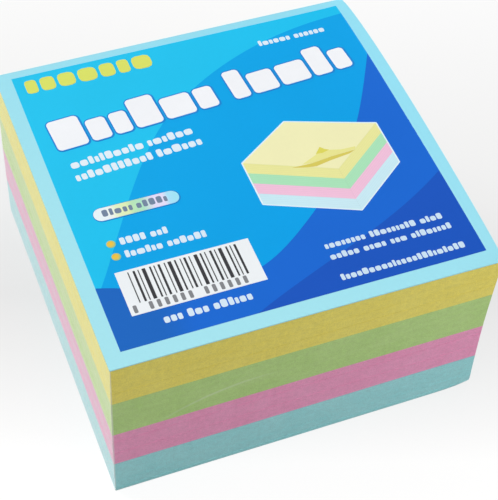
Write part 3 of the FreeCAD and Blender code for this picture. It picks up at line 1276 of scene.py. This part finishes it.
def background_rays(tree):
    """1 for rays that show the surroundings, and 0 for rays that carry light."""
    rays = tree.nodes.new("ShaderNodeLightPath")
    seen = maths(tree, "MAXIMUM", rays.outputs["Is Camera Ray"], rays.outputs["Is Glossy Ray"])
    return maths(tree, "MAXIMUM", seen, rays.outputs["Is Transmission Ray"])


def floor():
    """A large plane under the block."""
    half = FLOOR_SIZE / 2
    corners = [(-half, -half, 0), (half, -half, 0), (half, half, 0), (-half, half, 0)]
    plane = mesh_object("floor", corners, [(0, 1, 2, 3)])
    material, tree, shader = new_material("floor_paper", 0.9, 0.0)
    greys = floor_greys(tree)
    seen = background_rays(tree)
    lit = mixed(tree, seen, FLOOR_BOUNCE, scaled(tree, greys, 1 - FLOOR_GLOW))
    feed(tree, shader.inputs["Base Color"], lit)
    glow = scaled(tree, greys, maths(tree, "MULTIPLY", seen, FLOOR_GLOW))
    feed(tree, shader.inputs["Emission Color"], glow)
    shader.inputs["Emission Strength"].default_value = 1.0
    dress(plane, material)


floor()
print("Floor is", FLOOR_SIZE, "m wide")

# %% [markdown]
# ### World and lamps
#
# The light is a wide, soft tent: bright overhead and dim towards the horizon, so the top of
# the block is lit fully and its near side about half as much. A broad sun stands behind the
# block on the left. It grazes the left side, where the sheen of the cut edges answers with
# the pale veil of the photograph. A low lamp on the right makes the near side brighten towards
# the right. Together they give a white sheet lying flat the level of white.

# %% Set the light
SKY_HORIZON = 0.20
SKY_OVERHEAD = 0.70
BACKDROP = 0.965
SUN_LIGHT = 2.10
SUN_FROM = Vector((-0.42, 0.78, 0.48))
SUN_SPREAD_DEG = 50
FILL_PLACE = Vector((0.11, -0.145, 0.03))
FILL_SIZE = 0.12
FILL_POWER = 0.075


def studio_world():
    """The tent of light, with a plain pale backdrop for the camera."""
    world = bpy.data.worlds.new("tent")
    bpy.context.scene.world = world
    world.use_nodes = True
    tree = world.node_tree
    background = tree.nodes["Background"]
    split = tree.nodes.new("ShaderNodeSeparateXYZ")
    feed(tree, split.inputs[0], tree.nodes.new("ShaderNodeTexCoord").outputs["Generated"])
    upward = maths(tree, "MAXIMUM", split.outputs[2], 0.0)
    light = maths(tree, "MULTIPLY_ADD", upward, SKY_OVERHEAD, SKY_HORIZON)
    seen = background_rays(tree)
    level = maths(tree, "MULTIPLY", light, maths(tree, "SUBTRACT", 1.0, seen))
    level = maths(tree, "MULTIPLY_ADD", seen, BACKDROP, level)
    feed(tree, background.inputs["Strength"], level)
    background.inputs["Color"].default_value = (1.0, 1.0, 1.0, 1.0)


def add_lamp(name, kind, place, aim, energy, **settings):
    """A lamp at a place, aimed at a point."""
    data = bpy.data.lights.new(name, kind)
    data.energy = energy
    for setting, value in settings.items():
        setattr(data, setting, value)
    lamp = bpy.data.objects.new(name, data)
    lamp.location = place
    lamp.rotation_euler = (aim - place).to_track_quat("-Z", "Y").to_euler()
    bpy.context.scene.collection.objects.link(lamp)


studio_world()
block_middle = Vector((0, 0, COVER_TOP / 2))
add_lamp("broad_sun", "SUN", SUN_FROM, Vector(), SUN_LIGHT, angle=math.radians(SUN_SPREAD_DEG))
add_lamp("low_fill", "AREA", FILL_PLACE, block_middle, FILL_POWER, shape="SQUARE", size=FILL_SIZE)
bpy.context.scene.view_settings.view_transform = "Standard"

# %% [markdown]
# ## The camera
#
# The camera's place and turn were worked out from the block's corners in the photograph. It
# stands in front and to the left, about fifty degrees up and about thirty centimetres away.

# %% Place the camera
CAMERA_PLACE = Vector((-75.0, -173.9, 242.93)) * MM
CAMERA_TURN_DEG = (39.567, -2.634, -21.108)
CAMERA_LENS = 105.0


def place_camera():
    """The photograph's point of view."""
    data = bpy.data.cameras.new("camera")
    data.lens = CAMERA_LENS
    data.clip_start = 0.01
    camera = bpy.data.objects.new("camera", data)
    camera.location = CAMERA_PLACE
    camera.rotation_euler = [math.radians(angle) for angle in CAMERA_TURN_DEG]
    bpy.context.scene.collection.objects.link(camera)
    bpy.context.scene.camera = camera


place_camera()
print("Camera at", [round(v / MM, 1) for v in CAMERA_PLACE], "mm")
